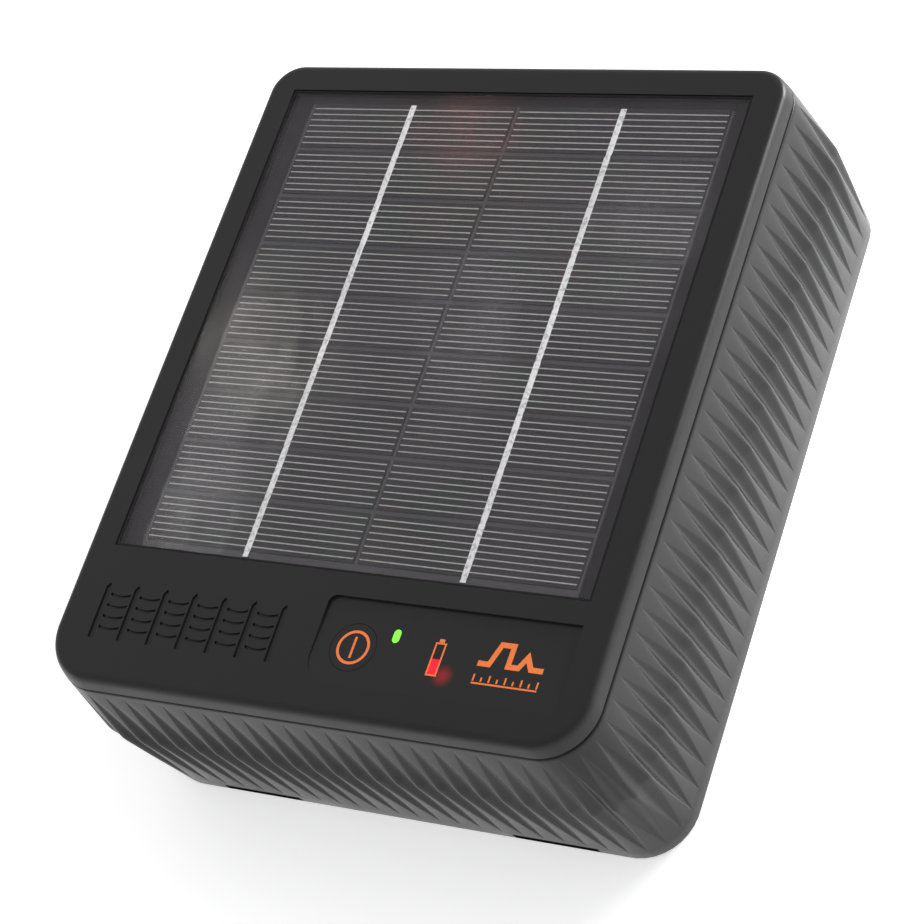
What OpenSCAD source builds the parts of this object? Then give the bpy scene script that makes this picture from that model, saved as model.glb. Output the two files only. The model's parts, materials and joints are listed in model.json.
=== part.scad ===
// Solar fence energizer: an upright box with a solar panel in its front, lying on its back.
// The frame has +X to the unit's right, +Y towards its top edge and +Z out of its front.
// The origin is the centre of the rear rim, so the unit rests on z = 0.

/* [Case] */
// Width of the front cover's face
cover_w = 128.6; // [126:0.1:132]
// Height of the front cover's face
cover_h = 154.1; // [151:0.1:158]
// Depth of the whole case, from the rear rim to the front face
case_depth = 54.5; // [54:0.1:56]
// Height of the widest line of the side walls above the rear rim
ridge_z = 28.3; // [25:0.1:31]
// How far the rear rim stands out past the front face's outline
rear_flare = 1.14; // [0.8:0.01:1.6]
// How far the ridge stands out past the front face's outline
ridge_flare = 2.95; // [2.4:0.01:3.2]
// How far the parting line stands out past the front face's outline
parting_flare = 0.7; // [0.4:0.01:1]
// Depth of the front cover's skirt
skirt_depth = 4; // [3.8:0.1:4.2]
// Radius of the two upper corners
top_corner_r = 7.2; // [6.5:0.1:9]
// Radius of the two lower corners
bottom_corner_r = 11.8; // [10.5:0.1:12.5]
// Thickness of the case walls
wall = 2.5; // [2.2:0.1:2.8]

/* [Solar panel] */
// Width of the panel's window
panel_w = 115; // [112:0.5:116]
// Height of the panel's window
panel_h = 116.3; // [114:0.1:117]
// Height of the panel's centre above the middle of the cover
panel_rise = 12.05; // [11.5:0.05:12.5]
// Number of rows of cells
cell_rows = 9; // [9:1:9]
// Distance from one row of cells to the next
cell_pitch = 12.4; // [12:0.1:12.5]

/* [Controls] */
// Centre of the power button across the face
button_x = 8.94; // [8:0.01:10]
// Centre of the power button up the face
button_y = -61.7; // [-63:0.1:-61]
// Radius of the power button
button_r = 5.2; // [4.8:0.1:5.4]
// How far the power button travels
button_travel = 0.6; // [0.4:0.1:0.8]

/* [Terminals] */
// Distance of each output terminal from the middle
terminal_x = 36.7; // [36:0.1:37]
// Position of both output terminals up the back
terminal_y = -56.5; // [-57:0.1:-56]
// Radius of a terminal stud
stud_r = 3; // [2.9:0.05:3]
// Radius of a terminal knob
knob_r = 9; // [8:0.1:9.5]

/* [Hidden] */
$fn = 48;
eps = 0.01;
over = 1;

// Case levels
parting_gap = 0.4;
cover_bottom_z = case_depth - skirt_depth;
housing_top_z = cover_bottom_z - parting_gap;
front_edge_r = 1.2;
corner_steps = 8;

// Panel stack, from the tray floor up
tray_top_z = case_depth - 3.1;
tray_bottom_z = tray_top_z - 2.2;
tape_t = 0.6;
substrate_t = 1.2;
cell_t = 0.25;
ribbon_t = 0.15;
glazing_t = 1;
panel_gap = 0.2;
substrate_z = tray_top_z + tape_t;
cell_z = substrate_z + substrate_t;
ribbon_z = cell_z + cell_t;
cell_h = 11.3;
cell_columns = [[-50.8, 1.5], [2.5, 53.1]];
cell_inset = 3.2;
ribbon_w = 1.6;
ribbon_centres = [-24.6, 27.9];
wire_slot = [14, 8];
wire_slot_y = 46;

// Control recess: a shallow facet that is deepest at its upper edge
recess_left = -0.3;
recess_right = 57.6;
recess_top = -51.1;
recess_bottom = -70.3;
recess_depth = 0.7;
recess_high_r = 2;
recess_low_r = 6;
recess_tilt = atan(recess_depth / (recess_top - recess_bottom));
skin_half_w = 57.2;
skin_low_y = -75;
skin_high_y = -49;
control_skin_z = case_depth - 2.5;
button_gap = 0.1;
button_flange_r = 6.2;
stem_r = 1.75;
stem_gap = 0.05;
stem_low_z = 42.7;
stem_high_z = 46.6;
switch_top_z = 45.1;
status_light = [17.8, -58.1];
status_light_size = [1.6, 2.9];
battery_light = [28.3, -61.4];
battery_light_size = [2.3, 7.9];
battery_cap = [1.2, 0.9];
low_light = [30.7, -64.9];
pipe_gap = 0.05;
pipe_low_z = 43.4;

// Screws
cover_screw_at = [for (x = [-54, 54], y = [-67, 67]) [x, y]];
back_screw_at = [[-40, 69.3], [40, 69.3], [-56.5, 0], [56.5, 0], [-16, -69.3], [16, -69.3]];
board_screw_at = [for (x = [-44, 44], y = [-62, -9]) [x, y]];
boss_r = 4;
clear_r = 1.7;
pilot_r = 1.3;
thread_r = 1.25;
head_r = 2.8;
head_h = 2;
board_post_r = 3.2;
cover_boss_low_z = 38;
cover_boss_mid_z = 46;

// Back cover
plate_low_z = 0.8;
plate_top_z = 4;
plate_clear = 0.3;
seal_h = 2;
ledge_z = plate_top_z + seal_h;
ledge_h = 2;
ledge_reach = 2.24;
back_boss_top_z = 16;
side_web_x = 63.7;
end_web_y = 76.4;
notch_w = 20;
notch_low_z = 0.6;
notch_high_z = 2.8;
bay_w = 24;
bay_low_y = -71;
bay_high_y = -45.5;
bay_ceiling_z = 19;
bay_wall = 2;
key_entry_r = 5;
key_slot_r = 2.6;
key_entry_y = 58;
key_slot_y = 67;
vent_at = [46, 30];
vent_r = 3;

// Terminals
collar_r = 6;
collar_t = 1;
washer_z = 16.6;
washer_t = 1;
knob_low_z = 6;
knob_bore_z = 7.6;
stud_low_z = 8;
stud_top_z = 30;
knob_clear = 0.05;
nut_low_z = 23;
nut_h = 4.6;

// Electronics
board_w = 96;
board_low_y = -66;
board_high_y = -4;
board_z = 40;
board_t = 1.6;
cell_r = 13;
battery_length = 65;
battery_z = 20;
battery_at = [9.5, 36];
cradle_half = 36;
cradle_low_y = -5.5;
cradle_high_y = 51;
wire_r = 0.9;

// How far the housing's wall stands out at its front end
housing_flare = lookup(housing_top_z, [[ridge_z, ridge_flare], [cover_bottom_z, parting_flare]]);

// Points of a rounded outline grown by d, with n steps round each corner
function outline(d, n = corner_steps) = let (
    rt = max(top_corner_r + d, 0.5),
    rb = max(bottom_corner_r + min(d, 0), 0.5),
    x = cover_w / 2 + d,
    y = cover_h / 2 + d,
    corners = [[x - rt, y - rt, rt, 0], [rt - x, y - rt, rt, 90],
        [rb - x, rb - y, rb, 180], [x - rb, rb - y, rb, 270]]
) [for (c = corners, i = [0:n])
    [c[0] + c[2] * cos(c[3] + 90 * i / n), c[1] + c[2] * sin(c[3] + 90 * i / n)]];

// A closed solid through a stack of outlines; each level is [z, growth]
module loft(levels) {
    rings = [for (l = levels) [for (p = outline(l[1])) [p[0], p[1], l[0]]]];
    n = len(rings[0]);
    m = len(rings);
    polyhedron(
        points = [for (r = rings, p = r) p],
        faces = concat(
            [[for (i = [0:n - 1]) i]],
            [[for (i = [n - 1:-1:0]) (m - 1) * n + i]],
            [for (k = [0:m - 2], i = [0:n - 1]) [k * n + i, (k + 1) * n + i, k * n + (i + 1) % n]],
            [for (k = [0:m - 2], i = [0:n - 1])
                [k * n + (i + 1) % n, (k + 1) * n + i, (k + 1) * n + (i + 1) % n]]
        ),
        convexity = 4
    );
}

// The case outline grown by d, with true arcs
module outline_2d(d) {
    x = cover_w / 2 + d;
    y = cover_h / 2 + d;
    rt = top_corner_r + d;
    rb = bottom_corner_r + min(d, 0);
    translate([-x, rb - y]) square([2 * x, 2 * y - rt - rb]);
    translate([rt - x, 0]) square([2 * (x - rt), y]);
    translate([rb - x, -y]) square([2 * (x - rb), y]);
    for (s = [-1, 1]) {
        translate([s * (x - rt), y - rt]) circle(rt);
        translate([s * (x - rb), rb - y]) circle(rb);
    }
}

// A ring of the case outline between two growths
module outline_ring(z, h, outer, inner) {
    translate([0, 0, z]) linear_extrude(h) difference() {
        outline_2d(outer);
        outline_2d(inner);
    }
}

// A box given by its two opposite corners
module span(low, high) {
    translate(low) cube(high - low);
}

// A cylinder standing at a point, from one height to another
module post(at, z0, z1, r) {
    translate([at[0], at[1], z0]) cylinder(h = z1 - z0, r = r);
}

// The waste outside a rounded corner; turn points the corner's quadrant
module corner_waste(at, r, turn) {
    translate(at) rotate(turn) difference() {
        translate([-eps, -eps]) square(r + eps);
        translate([r, r]) circle(r);
    }
}

// Everything above the control recess's facet
module above_recess() {
    size = [recess_right - recess_left, recess_top - recess_bottom];
    translate([recess_left, recess_bottom, case_depth]) rotate([-recess_tilt, 0, 0])
        linear_extrude(3) difference() {
            square(size);
            corner_waste([0, 0], recess_low_r, 0);
            corner_waste([0, size[1]], recess_high_r, -90);
        }
}

// A self-tapping screw, its head below z and its thread above
module screw(at, z, length, r = thread_r, head = head_r) {
    difference() {
        union() {
            post(at, z - head_h, z, head);
            post(at, z, z + length, r);
        }
        post(at, z - head_h - eps, z - head_h + 1, head / 3, $fn = 6);
    }
}

// A wire swept along its own points
module wire(points, r = wire_r) {
    n = 8;
    last = len(points) - 1;
    dirs = [for (i = [0:last]) let (d = points[min(i + 1, last)] - points[max(i - 1, 0)]) d / norm(d)];
    side = [for (d = dirs) let (s = cross(d, [0.3, 0.2, 1])) s / norm(s)];
    polyhedron(
        points = [for (i = [0:last], k = [0:n - 1]) let (a = 360 * k / n)
            points[i] + r * (cos(a) * side[i] + sin(a) * cross(dirs[i], side[i]))],
        faces = concat(
            [[for (k = [0:n - 1]) k]],
            [[for (k = [n - 1:-1:0]) last * n + k]],
            [for (i = [0:last - 1], k = [0:n - 1]) [i * n + k, (i + 1) * n + k, i * n + (k + 1) % n]],
            [for (i = [0:last - 1], k = [0:n - 1])
                [i * n + (k + 1) % n, (i + 1) * n + k, (i + 1) * n + (k + 1) % n]]
        )
    );
}

// Points of a smooth curve through four guide points
function bend(a, b, c, d, steps = 8) = [for (i = [0:steps]) let (t = i / steps, u = 1 - t)
    u * u * u * a + 3 * u * u * t * b + 3 * u * t * t * c + t * t * t * d];

// Front cover: bezel, panel tray, control facet, lip, bosses and board posts
module front_cover() {
    color([0.19, 0.19, 0.19]) difference() {
        union() {
            difference() {
                loft([[cover_bottom_z, parting_flare], [case_depth - front_edge_r, 0.2],
                    [case_depth - 0.35, -0.3], [case_depth, -front_edge_r]]);
                span([-skin_half_w, skin_low_y, cover_bottom_z - over],
                    [skin_half_w, skin_high_y, control_skin_z]);
            }
            span([-59.5, panel_rise - panel_h / 2 - 2, tray_bottom_z],
                [59.5, panel_rise + panel_h / 2 + 1.5, cover_bottom_z + eps]);
            outline_ring(cover_bottom_z - 2.5, 2.5 + eps, parting_flare - wall - 0.3, -3.7);
            for (p = cover_screw_at) post(p, cover_boss_mid_z, post_top(p), boss_r);
            for (p = board_screw_at) post(p, board_z + board_t, post_top(p), board_post_r);
        }
        translate([-panel_w / 2, panel_rise - panel_h / 2, tray_top_z]) cube([panel_w, panel_h, 10]);
        above_recess();
        outline_ring(cover_bottom_z - eps, 1.2, -0.1, -1.3);
        span([-wire_slot[0] / 2, wire_slot_y - wire_slot[1] / 2, tray_bottom_z - over],
            [wire_slot[0] / 2, wire_slot_y + wire_slot[1] / 2, tray_top_z + over]);
        for (p = cover_screw_at) post(p, cover_boss_mid_z - over, 50.4, pilot_r);
        for (p = board_screw_at) post(p, board_z, 48, 1.1);
        post([button_x, button_y], control_skin_z - over, case_depth + over, button_r + button_gap);
        translate([status_light[0], status_light[1], control_skin_z - over])
            linear_extrude(5) stadium(status_light_size + 2 * [pipe_gap, pipe_gap]);
        translate([battery_light[0], battery_light[1], control_skin_z - over])
            linear_extrude(5) battery_shape(pipe_gap);
    }
}

// Upright stadium with true round ends
module stadium(size) {
    r = size[0] / 2;
    square([size[0], size[1] - size[0]], center = true);
    for (s = [-1, 1]) translate([0, s * (size[1] / 2 - r)]) circle(r);
}

// Where a post or boss meets the cover: the control skin at the bottom, or the tray floor
function post_top(at) = at[1] < board_low_y / 2 ? control_skin_z + eps : tray_top_z - 1;

// Outline of a cell with its cap, grown by d
module battery_shape(d) {
    w = battery_light_size[0] + 2 * d;
    top = battery_light_size[1] / 2;
    translate([-w / 2, -top - d]) square([w, 2 * top - battery_cap[1] + 2 * d]);
    translate([-battery_cap[0] / 2 - d, top - battery_cap[1]])
        square([battery_cap[0] + 2 * d, battery_cap[1] + d]);
}

// Gasket in the cover's groove, pressed on the housing's rim
module cover_seal() {
    color([0.06, 0.06, 0.06]) outline_ring(housing_top_z, 1.5, -0.25, -1.15);
}

// Foam tape frame under the panel
module panel_tape() {
    w = panel_w - 2 * panel_gap;
    h = panel_h - 2 * panel_gap;
    color([0.1, 0.1, 0.1]) translate([0, panel_rise, tray_top_z]) linear_extrude(tape_t) difference() {
        square([w, h], center = true);
        square([w - 12, h - 12], center = true);
    }
}

// Board that the cells are laid on
module solar_substrate() {
    color([0.12, 0.11, 0.12]) translate([0, panel_rise, substrate_z + substrate_t / 2])
        cube([panel_w - 2 * panel_gap, panel_h - 2 * panel_gap, substrate_t], center = true);
}

// Lower edge of a row of cells
function row_y(i) = panel_rise + panel_h / 2 - cell_inset - cell_h - i * cell_pitch;

// Two columns of cut cells
module solar_cells() {
    color([0.2, 0.19, 0.23]) for (c = cell_columns, i = [0:cell_rows - 1])
        span([c[0], row_y(i), cell_z], [c[1], row_y(i) + cell_h, cell_z + cell_t]);
}

// Flat ribbon down the middle of each column, joined from cell to cell
module cell_ribbons() {
    color([0.85, 0.85, 0.86]) for (x = ribbon_centres)
        span([x - ribbon_w / 2, row_y(cell_rows - 1) - 1.4, ribbon_z],
            [x + ribbon_w / 2, row_y(0) + cell_h, ribbon_z + ribbon_t]);
}

// Clear laminate over the cells, hollowed underneath to make room for them
module panel_glazing() {
    w = panel_w - 2 * panel_gap;
    h = panel_h - 2 * panel_gap;
    color([0.6, 0.6, 0.65, 0.4]) difference() {
        translate([0, panel_rise, cell_z + glazing_t / 2]) cube([w, h, glazing_t], center = true);
        span([cell_columns[0][0] - 0.7, row_y(cell_rows - 1) - 1.6, cell_z - over],
            [cell_columns[1][1] + 0.7, row_y(0) + cell_h + 0.2, ribbon_z + ribbon_t + 0.02]);
    }
}

// Power button: a flush disc with a retaining flange and a stem
module power_button() {
    at = [button_x, button_y];
    color([0.19, 0.19, 0.19]) difference() {
        union() {
            post(at, control_skin_z - 1.1, case_depth, button_r);
            post(at, control_skin_z - 1.1, control_skin_z - 0.1, button_flange_r);
            post(at, stem_high_z, control_skin_z - 1, 1.6);
        }
        above_recess();
    }
}

// Stem of the push switch, which travels with the button
module switch_stem() {
    color([0.15, 0.15, 0.15]) post([button_x, button_y], stem_low_z, stem_high_z, stem_r);
}

// Push switch on the board, open round its stem
module tact_switch() {
    color([0.5, 0.5, 0.52]) difference() {
        translate([button_x, button_y, (board_z + board_t + switch_top_z) / 2])
            cube([6.2, 6.2, switch_top_z - board_z - board_t], center = true);
        post([button_x, button_y], stem_low_z - button_travel - 0.2, switch_top_z + over,
            stem_r + stem_gap);
    }
}

// Light pipe of the status light
module status_light_pipe() {
    color([0.5, 0.94, 0.24]) difference() {
        translate([status_light[0], status_light[1], pipe_low_z])
            linear_extrude(case_depth - pipe_low_z) stadium(status_light_size);
        above_recess();
    }
}

// Light pipe of the battery level
module battery_light_pipe() {
    color([1, 0.13, 0.19]) difference() {
        translate([battery_light[0], battery_light[1], pipe_low_z])
            linear_extrude(case_depth - pipe_low_z) battery_shape(0);
        above_recess();
    }
}

// Surface-mounted lights under the light pipes
module indicator_leds() {
    color([0.9, 0.9, 0.8]) for (p = [status_light, battery_light + [0, 1.5], low_light])
        translate([p[0], p[1], board_z + board_t + 0.6]) cube([3.2, 1.6, 1.2], center = true);
}

// Housing: a drafted sleeve with a ledge for the back seal, screw bosses and two rim slots
module main_housing() {
    color([0.34, 0.34, 0.34]) difference() {
        union() {
            difference() {
                loft([[0, rear_flare], [ridge_z, ridge_flare], [housing_top_z, housing_flare]]);
                loft([[-over, rear_flare - wall], [0, rear_flare - wall], [ridge_z, ridge_flare - wall],
                    [housing_top_z, housing_flare - wall], [housing_top_z + over, housing_flare - wall]]);
            }
            outline_ring(ledge_z, ledge_h, 0.2, rear_flare - wall - ledge_reach);
            for (p = cover_screw_at) {
                post(p, cover_boss_low_z, cover_boss_mid_z - 0.1, boss_r);
                gusset(p, side_web(p), cover_boss_low_z, cover_boss_mid_z - 0.1);
                gusset(p, end_web(p), cover_boss_low_z, cover_boss_mid_z - 0.1);
            }
            for (p = back_screw_at) {
                post(p, plate_top_z + 0.1, back_boss_top_z, boss_r);
                gusset(p, p[1] == 0 ? side_web(p) : end_web(p), ledge_z, back_boss_top_z);
            }
        }
        for (p = cover_screw_at) post(p, cover_boss_low_z - over, cover_boss_mid_z + over, clear_r);
        for (p = back_screw_at) post(p, 0, back_boss_top_z - 2, pilot_r);
        for (s = [-1, 1])
            span([s * terminal_x - notch_w / 2, -cover_h, notch_low_z],
                [s * terminal_x + notch_w / 2, bay_low_y - bay_wall, notch_high_z]);
    }
}

// The points in the side wall and in the end wall that a boss's webs run to
function side_web(at) = [sign(at[0]) * side_web_x, at[1]];
function end_web(at) = [at[0], sign(at[1]) * end_web_y];

// A web 2 mm thick from a boss to a wall
module gusset(a, b, z0, z1) {
    half = a[0] == b[0] ? [1, 0] : [0, 1];
    low = [min(a[0], b[0]), min(a[1], b[1])] - half;
    high = [max(a[0], b[0]), max(a[1], b[1])] + half;
    span([low[0], low[1], z0], [high[0], high[1], z1]);
}

// Four screws that pull the front cover down from inside
module cover_screws() {
    color([0.7, 0.7, 0.72]) for (p = cover_screw_at) screw(p, cover_boss_low_z, 12);
}

// Circuit board hung under the front cover
module main_board() {
    color([0.08, 0.35, 0.16]) difference() {
        span([-board_w / 2, board_low_y, board_z], [board_w / 2, board_high_y, board_z + board_t]);
        for (p = board_screw_at) post(p, board_z - over, board_z + board_t + over, 1.4);
    }
}

// Four screws that hold the board
module board_screws() {
    color([0.75, 0.75, 0.77]) for (p = board_screw_at) screw(p, board_z, 6.5, 1.05, 2.4);
}

// Film capacitor that stores the pulse
module pulse_capacitor() {
    color([0.75, 0.72, 0.62]) span([-41, -38, 10], [-7, -12, board_z]);
}

// Transformer core with two windows
module transformer_core() {
    color([0.35, 0.35, 0.37]) difference() {
        span([8, -30, 9], [44, -16, 39]);
        for (x = [13, 31]) span([x, -31, 14], [x + 8, -15, 34]);
    }
}

// Bobbin on the core's middle leg
module transformer_bobbin() {
    color([0.15, 0.15, 0.16]) difference() {
        union() {
            span([20, -31, 14.2], [32, -15, 33.8]);
            for (z = [14.2, 32.8]) span([13.3, -38, z], [38.7, -8, z + 1]);
        }
        span([20.95, -30.05, 10], [31.05, -15.95, 38]);
    }
}

// Winding between the bobbin's flanges
module transformer_winding() {
    color([0.75, 0.42, 0.2]) difference() {
        span([14, -37, 15.3], [38, -9, 32.7]);
        span([19.95, -31.05, 10], [32.05, -14.95, 38]);
    }
}

// Power switch with its metal tab
module thyristor() {
    color([0.12, 0.12, 0.12]) union() {
        span([-5, -51, 21], [5, -46.8, 36]);
        for (x = [-2.5, 0, 2.5]) span([x - 0.4, -49.2, 36 - eps], [x + 0.4, -48.7, board_z]);
    }
}

// Drum inductor of the charging circuit
module charge_inductor() {
    color([0.25, 0.22, 0.2]) translate([0, -59.5, board_z - 12]) rotate_extrude()
        polygon([[0, 0], [6, 0], [6, 2], [4, 2], [4, 10], [6, 10], [6, 12], [0, 12]]);
}

// Electrolytic capacitors
module filter_capacitors() {
    color([0.16, 0.2, 0.42]) for (p = [[-13, -60], [13, -60], [-13, -48.5]]) post(p, 22, board_z, 5);
}

// Plug sockets: two for the battery below the board, one for the panel above it
module board_connectors() {
    color([0.92, 0.9, 0.84]) {
        for (x = [-42, 30]) span([x, -50, 33], [x + 12, -44, board_z]);
        span([-36, -16, board_z + board_t], [-24, -10, 47]);
    }
}

// A cylinder lying across the middle of the case at battery height
module lying_post(y, length, r) {
    translate([-length / 2, y, battery_z]) rotate([0, 90, 0]) cylinder(h = length, r = r);
}

// Two lithium cells lying across the case
module battery_cells() {
    color([0.16, 0.35, 0.62]) for (y = battery_at)
        lying_post(y, battery_length, cell_r);
}

// Cradle under the cells
module battery_cradle() {
    color([0.1, 0.1, 0.1]) difference() {
        span([-cradle_half, cradle_low_y, plate_top_z], [cradle_half, cradle_high_y, 14]);
        for (y = battery_at) lying_post(y, battery_length + 1.8, cell_r + 0.1);
    }
}

// Strap over the cells, its legs standing on the cradle
module battery_strap() {
    color([0.1, 0.1, 0.1]) union() {
        span([-8, cradle_low_y, 33.1], [8, cradle_high_y, 35.1]);
        for (y = [cradle_low_y, cradle_high_y - 1.8]) span([-8, y, 14], [8, y + 1.8, 33.1 + eps]);
    }
}

// Contact plates at the ends of the cells
module battery_contacts() {
    color([0.8, 0.8, 0.78]) for (x = [-33.3, battery_length / 2])
        span([x, battery_at[0] - 5, battery_z - 4], [x + 0.8, battery_at[1] + 5, battery_z + 4]);
}

// Two leads from the battery's contacts to the board
module battery_wires() {
    color([0.75, 0.1, 0.1]) for (s = [-1, 1])
        wire(concat(
            [[33.3 * s, 23, 22]],
            bend([35 * s, 23, 22], [50 * s, 23, 23], [50 * s, -20, 30], [48 * s, -38, 36]),
            bend([47.4 * s, -42, 36.8], [47 * s, -44.5, 37], [46 * s, -47, 37], [44 * s, -47, 37], 4),
            [[42 * s, -47, 37]]
        ));
}

// Two leads from the panel, through the tray's slot, to the board
module solar_wires() {
    color([0.1, 0.1, 0.1]) for (s = [-1, 1])
        wire(concat(
            [[3 * s, wire_slot_y, substrate_z], [3 * s, wire_slot_y, substrate_z - 2]],
            bend([3 * s, wire_slot_y, 48.5], [3 * s, wire_slot_y, 43.5], [-30 + 3 * s, 10, 45],
                [-30 + 3 * s, -8, 44.5], 10),
            [[-30 + 3 * s, -10, 44.5]]
        ));
}

// Two leads with ring ends from the board to the terminal studs
module output_wires() {
    ring_z = nut_low_z + nut_h;
    color([0.8, 0.2, 0.1]) for (s = [-1, 1]) union() {
        difference() {
            post([s * terminal_x, terminal_y], ring_z, ring_z + 0.8, 5.5);
            post([s * terminal_x, terminal_y], ring_z - over, ring_z + over, stud_r + 0.1);
        }
        wire(concat(
            bend([s * terminal_x, terminal_y - 5.2, ring_z + 0.4],
                [s * terminal_x, terminal_y - 10, ring_z + 0.4],
                [s * 34, terminal_y - 8, 33], [s * 34, terminal_y - 5, 37]),
            [[s * 34, terminal_y - 5, board_z]]
        ));
    }
}

// Back cover: plate, terminal bays with lead channels, and a sealed keyhole pocket
module back_cover() {
    color([0.16, 0.16, 0.16]) difference() {
        union() {
            translate([0, 0, plate_low_z]) linear_extrude(plate_top_z - plate_low_z)
                outline_2d(rear_flare - wall - plate_clear);
            for (s = [-1, 1])
                span([s * terminal_x - bay_w / 2 - bay_wall, bay_low_y - bay_wall, plate_top_z - eps],
                    [s * terminal_x + bay_w / 2 + bay_wall, bay_high_y + bay_wall, bay_ceiling_z + 2.5]);
            span([-8, key_entry_y - 7, plate_top_z - eps], [8, key_slot_y + 5, 11.5]);
        }
        for (s = [-1, 1]) {
            span([s * terminal_x - bay_w / 2, bay_low_y, -over],
                [s * terminal_x + bay_w / 2, bay_high_y, bay_ceiling_z]);
            span([s * terminal_x - notch_w / 2, -cover_h, -over],
                [s * terminal_x + notch_w / 2, bay_low_y + over, notch_high_z]);
            post([s * terminal_x, terminal_y], bay_ceiling_z - over, 30, stud_r + 0.1);
        }
        span([-6, key_entry_y - 5, plate_top_z], [6, key_slot_y + 3, 9.5]);
        post([0, key_entry_y], -over, plate_top_z + eps, key_entry_r);
        span([-key_slot_r, key_entry_y, -over], [key_slot_r, key_slot_y, plate_top_z + eps]);
        post([0, key_slot_y], -over, plate_top_z + eps, key_slot_r);
        for (p = back_screw_at) {
            post(p, -over, plate_top_z + over, clear_r);
            post(p, -over, 2.9, 3.1);
        }
        post(vent_at, -over, plate_top_z + over, vent_r);
    }
}

// Gasket between the back plate and the housing's ledge
module back_seal() {
    color([0.06, 0.06, 0.06])
        outline_ring(plate_top_z, seal_h, rear_flare - wall - 0.5, rear_flare - wall - 2.1);
}

// Six screws that hold the back cover
module back_screws() {
    color([0.7, 0.7, 0.72]) for (p = back_screw_at) screw(p, 2.9, 9.5);
}

// Threaded stud with the collar that the lead is clamped against
module terminal_stud(side) {
    at = [side * terminal_x, terminal_y];
    color([0.8, 0.8, 0.8]) union() {
        post(at, stud_low_z, stud_top_z, stud_r);
        post(at, bay_ceiling_z - collar_t, bay_ceiling_z, collar_r);
    }
}

// Nuts that hold the studs from inside
module terminal_nuts() {
    color([0.8, 0.8, 0.8]) for (s = [-1, 1]) difference() {
        post([s * terminal_x, terminal_y], nut_low_z, nut_low_z + nut_h, 5.77, $fn = 6);
        post([s * terminal_x, terminal_y], nut_low_z - over, nut_low_z + nut_h + over, stud_r + 0.02);
    }
}

// Rubber rings under the nuts
module terminal_seals() {
    color([0.06, 0.06, 0.06]) for (s = [-1, 1]) difference() {
        post([s * terminal_x, terminal_y], bay_ceiling_z + 2.5, nut_low_z, 6);
        post([s * terminal_x, terminal_y], bay_ceiling_z, nut_low_z + over, stud_r + 0.02);
    }
}

// Loose washer that the knob drives against the lead
module terminal_washer(side) {
    at = [side * terminal_x, terminal_y];
    color([0.82, 0.82, 0.8]) difference() {
        post(at, washer_z, washer_z + washer_t, 6.4);
        post(at, washer_z - over, washer_z + washer_t + over, stud_r + 0.08);
    }
}

// Fluted knob with a blind bore for the stud
module terminal_knob(side, tint) {
    at = [side * terminal_x, terminal_y];
    flutes = 10;
    color(tint) difference() {
        union() {
            post(at, knob_low_z, knob_low_z + 7, knob_r);
            post(at, knob_low_z + 7 - eps, washer_z - 0.05, 6);
        }
        post(at, knob_bore_z, washer_z + over, stud_r + knob_clear);
        for (i = [0:flutes - 1]) let (a = 360 * (i + 0.5) / flutes)
            post(at + (knob_r + 1) * [cos(a), sin(a)], knob_low_z - over, knob_low_z + 8, 1.8);
    }
}

module fence_terminal_stud() { terminal_stud(1); }
module earth_terminal_stud() { terminal_stud(-1); }
module fence_terminal_washer() { terminal_washer(1); }
module earth_terminal_washer() { terminal_washer(-1); }
module fence_terminal_knob() { terminal_knob(1, [0.75, 0.08, 0.07]); }
module earth_terminal_knob() { terminal_knob(-1, [0.06, 0.42, 0.16]); }

// Breather plug in the back plate
module vent_plug() {
    color([0.25, 0.25, 0.25]) union() {
        post(vent_at, 0.3, plate_low_z, 4.5);
        post(vent_at, plate_low_z - eps, plate_top_z + 1, vent_r - 0.03);
    }
}

front_cover();
cover_seal();
panel_tape();
solar_substrate();
solar_cells();
cell_ribbons();
panel_glazing();
power_button();
switch_stem();
tact_switch();
status_light_pipe();
battery_light_pipe();
indicator_leds();
main_housing();
cover_screws();
main_board();
board_screws();
pulse_capacitor();
transformer_core();
transformer_bobbin();
transformer_winding();
thyristor();
charge_inductor();
filter_capacitors();
board_connectors();
battery_cells();
battery_cradle();
battery_strap();
battery_contacts();
battery_wires();
solar_wires();
output_wires();
back_cover();
back_seal();
back_screws();
fence_terminal_stud();
earth_terminal_stud();
terminal_nuts();
terminal_seals();
fence_terminal_washer();
earth_terminal_washer();
fence_terminal_knob();
earth_terminal_knob();
vent_plug();
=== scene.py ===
import json
import math
import random

import bmesh
import bpy
import numpy as np
from mathutils import Matrix, Vector


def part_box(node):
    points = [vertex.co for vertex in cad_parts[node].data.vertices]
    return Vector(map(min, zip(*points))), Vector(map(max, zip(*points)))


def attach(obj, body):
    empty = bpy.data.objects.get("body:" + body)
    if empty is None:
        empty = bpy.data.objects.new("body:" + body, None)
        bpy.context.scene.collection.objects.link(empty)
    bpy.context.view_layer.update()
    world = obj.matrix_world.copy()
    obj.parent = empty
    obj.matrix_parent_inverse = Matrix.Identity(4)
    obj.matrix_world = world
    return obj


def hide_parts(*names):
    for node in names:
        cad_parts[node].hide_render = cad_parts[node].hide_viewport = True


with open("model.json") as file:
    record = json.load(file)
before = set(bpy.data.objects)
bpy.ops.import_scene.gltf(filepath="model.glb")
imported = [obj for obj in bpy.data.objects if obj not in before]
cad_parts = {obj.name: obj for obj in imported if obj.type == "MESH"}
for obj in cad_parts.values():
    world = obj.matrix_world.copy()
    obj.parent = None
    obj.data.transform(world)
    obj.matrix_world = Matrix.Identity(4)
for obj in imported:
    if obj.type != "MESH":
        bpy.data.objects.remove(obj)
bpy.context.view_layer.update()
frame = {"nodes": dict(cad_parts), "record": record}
MM = 0.001
random.seed(7)


# ---------------------------------------------------------------- helpers
def to_object(name, verts_mm, faces):
    mesh = bpy.data.meshes.new(name)
    mesh.from_pydata([tuple(c * MM for c in v) for v in verts_mm], [], faces)
    mesh.update()
    obj = bpy.data.objects.new(name, mesh)
    bpy.context.scene.collection.objects.link(obj)
    return obj


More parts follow.
